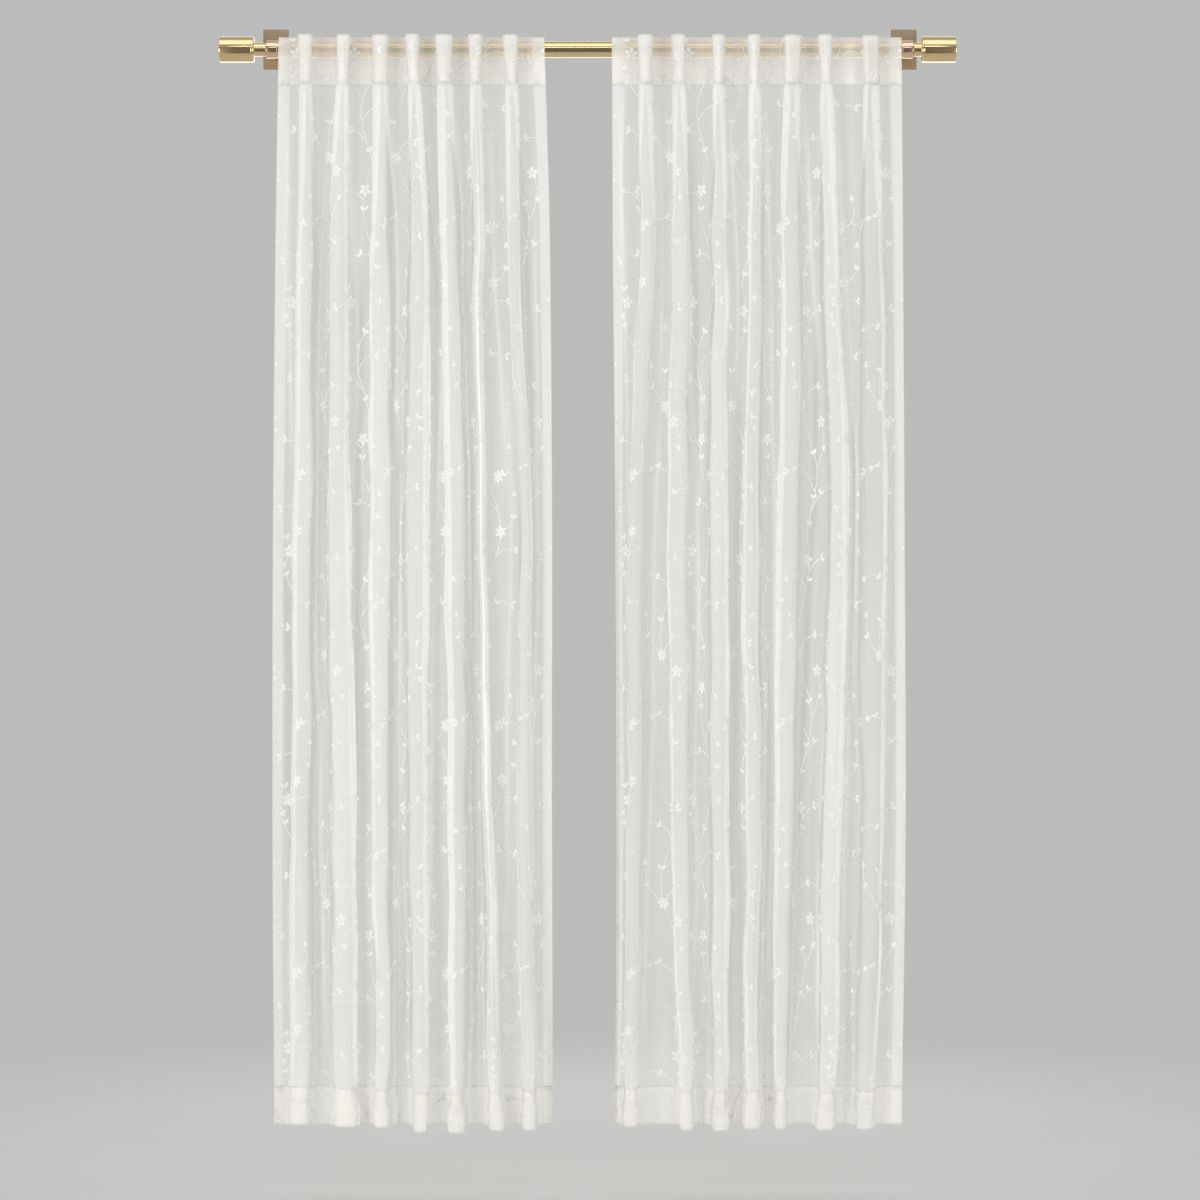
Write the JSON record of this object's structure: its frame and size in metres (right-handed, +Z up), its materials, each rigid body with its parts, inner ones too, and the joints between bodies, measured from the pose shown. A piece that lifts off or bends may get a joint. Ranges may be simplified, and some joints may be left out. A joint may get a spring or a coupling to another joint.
{
  "type": "sheer curtain pair on rod",
  "caption": "Sheer embroidered voile curtains with hidden back tabs, hanging in soft forward folds from a brass rod on wall brackets.",
  "frame": {"origin": "centre of the back face of the left wall plate, where it meets the wall", "axes": "+X along the rod to the right seen from the room, +Y into the wall, +Z up"},
  "size_m": [1.4476, 0.1661, 2.177],
  "materials": {
    "ivory_voile": "sheer slubby voile weave, ivory white",
    "white_thread": "raised white embroidery and sewing thread with a soft sheen",
    "satin_brass": "satin, softly lacquered",
    "rose_brass": "satin with a rose tint",
    "brushed_bronze": "brushed antique bronze"
  },
  "bodies": {
    "root": {"panel_left": "ivory_voile", "panel_right": "ivory_voile", "rod": "satin_brass", "finial_left": "satin_brass", "finial_right": "satin_brass", "bracket_left": "rose_brass", "bracket_right": "rose_brass", "wall_plate_left": "brushed_bronze", "wall_plate_right": "brushed_bronze", "tab_left_1": "ivory_voile", "tab_left_2": "ivory_voile", "tab_left_3": "ivory_voile", "tab_left_4": "ivory_voile", "tab_left_5": "ivory_voile", "tab_left_6": "ivory_voile", "tab_left_7": "ivory_voile", "tab_left_8": "ivory_voile", "tab_right_1": "ivory_voile", "tab_right_2": "ivory_voile", "tab_right_3": "ivory_voile", "tab_right_4": "ivory_voile", "tab_right_5": "ivory_voile", "tab_right_6": "ivory_voile", "tab_right_7": "ivory_voile", "tab_right_8": "ivory_voile"}
  },
  "joints": []
}
